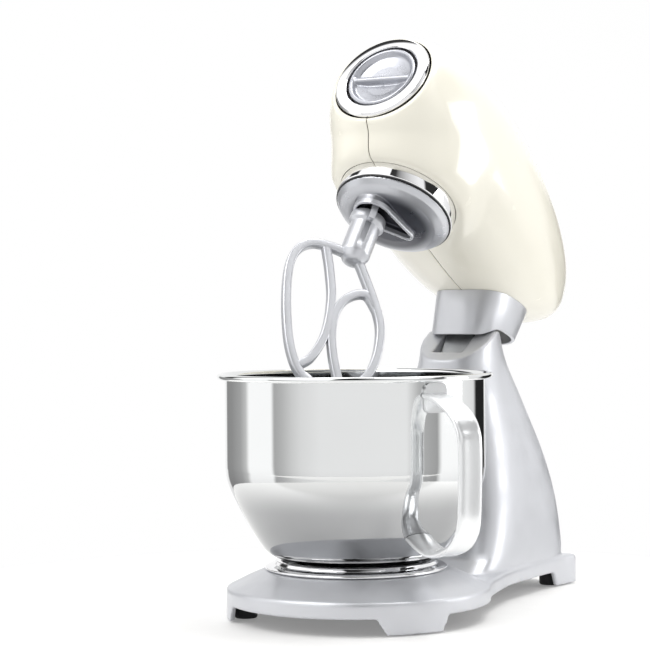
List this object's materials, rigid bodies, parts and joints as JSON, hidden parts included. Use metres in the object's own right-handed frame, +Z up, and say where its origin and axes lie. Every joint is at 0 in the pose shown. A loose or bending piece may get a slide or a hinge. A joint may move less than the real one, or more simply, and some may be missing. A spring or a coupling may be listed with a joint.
{
  "type": "stand mixer",
  "caption": "Tilt-head stand mixer with a cream head, silver stand, steel bowl with strap handle and flat beater, standing with its head raised.",
  "frame": {"origin": "centre of the bounding box on the surface the mixer stands on", "axes": "+Z up, -Y towards the nose, +X to the side that the bowl handle is on"},
  "size_m": [0.253, 0.4192, 0.4722],
  "materials": {
    "cream_enamel": "gloss",
    "silver_paint": "satin",
    "chrome": "polished",
    "polished_steel": "polished",
    "satin_plastic": "satin",
    "cast_aluminium": "matte",
    "tool_coating": "satin",
    "steel": "satin",
    "rubber": "matte",
    "black_plastic": "matte",
    "copper": "satin",
    "board": "matte"
  },
  "bodies": {
    "stand": {"stand_casting": "silver_paint", "base_cover": "black_plastic", "cover_screw_1": "steel", "cover_screw_2": "steel", "cover_screw_3": "steel", "cover_screw_4": "steel", "foot_front_right": "rubber", "foot_front_left": "rubber", "foot_rear_right": "rubber", "foot_rear_left": "rubber", "bowl_lock_plate": "steel", "hinge_pin": "steel", "hinge_bush_right": "copper", "hinge_bush_left": "copper", "cord_gland": "rubber", "release_spring": "steel"},
    "head": {"head_shell_right": "cream_enamel", "head_shell_left": "cream_enamel", "neck_collar": "silver_paint", "head_frame": "cast_aluminium", "nose_ring": "chrome", "nose_socket": "cast_aluminium", "planetary_band": "chrome", "ring_gear": "steel", "gearbox_housing": "cast_aluminium", "shaft_bearing_lower": "steel", "shaft_bearing_upper": "steel", "motor_can": "steel", "motor_end_cap": "cast_aluminium", "motor_front_cap": "cast_aluminium", "speed_board": "board", "speed_sensor": "black_plastic", "lever_shaft": "steel", "lever_trim": "chrome"},
    "carrier": {"drive_shaft": "steel", "worm_wheel": "copper", "planet_disc": "satin_plastic"},
    "tool": {"planet_pinion": "steel", "tool_shaft": "steel", "tool_drive_pin": "steel", "beater": "tool_coating"},
    "rotor": {"motor_rotor": "copper", "cooling_fan": "black_plastic"},
    "lever": {"speed_lever": "chrome"},
    "cap": {"nose_cap": "satin_plastic"},
    "button": {"release_button": "satin_plastic"},
    "mixing_bowl": {"bowl": "polished_steel", "bowl_foot": "chrome", "bowl_handle": "polished_steel"}
  },
  "joints": [
    {"name": "head_tilt", "type": "hinge", "parent": "stand", "child": "head", "pos_m": [-0.01599, 0.06491, 0.188], "axis": [1, 0, 0], "range_deg": [0, 37]},
    {"name": "carrier_turn", "type": "hinge", "parent": "head", "child": "carrier", "pos_m": [-0.01599, -0.03718, 0.32503], "axis": [0, 0.6018, 0.7986], "continuous": true},
    {"name": "tool_spin", "type": "hinge", "parent": "carrier", "child": "tool", "pos_m": [-0.02657, -0.04881, 0.3338], "axis": [0, 0.6018, 0.7986], "continuous": true},
    {"name": "rotor_turn", "type": "hinge", "parent": "head", "child": "rotor", "pos_m": [0.01261, 0.00856, 0.38573], "axis": [0, 0.7986, -0.6018], "continuous": true},
    {"name": "speed_lever_swing", "type": "hinge", "parent": "head", "child": "lever", "pos_m": [-0.01599, 0.05856, 0.38561], "axis": [1, 0, 0], "range_deg": [-44, 0]},
    {"name": "cap_pull", "type": "slide", "parent": "head", "child": "cap", "axis": [0, -0.7986, 0.6018], "range_m": [0, 0.03]},
    {"name": "button_press", "type": "slide", "parent": "stand", "child": "button", "axis": [0, -1, 0], "range_m": [0, 0.005], "stiffness_N_per_m": 400, "springref_m": -0.004, "deforming": ["release_spring"]},
    {"name": "bowl_turn", "type": "hinge", "parent": "stand", "child": "mixing_bowl", "pos_m": [-0.01599, -0.09909, 0.04], "axis": [0, 0, 1], "range_deg": [0, 25]}
  ],
  "couplings": [
    {"joint": "tool_spin", "follows": "carrier_turn", "ratio": -3.25},
    {"joint": "rotor_turn", "follows": "carrier_turn", "ratio": 14}
  ]
}
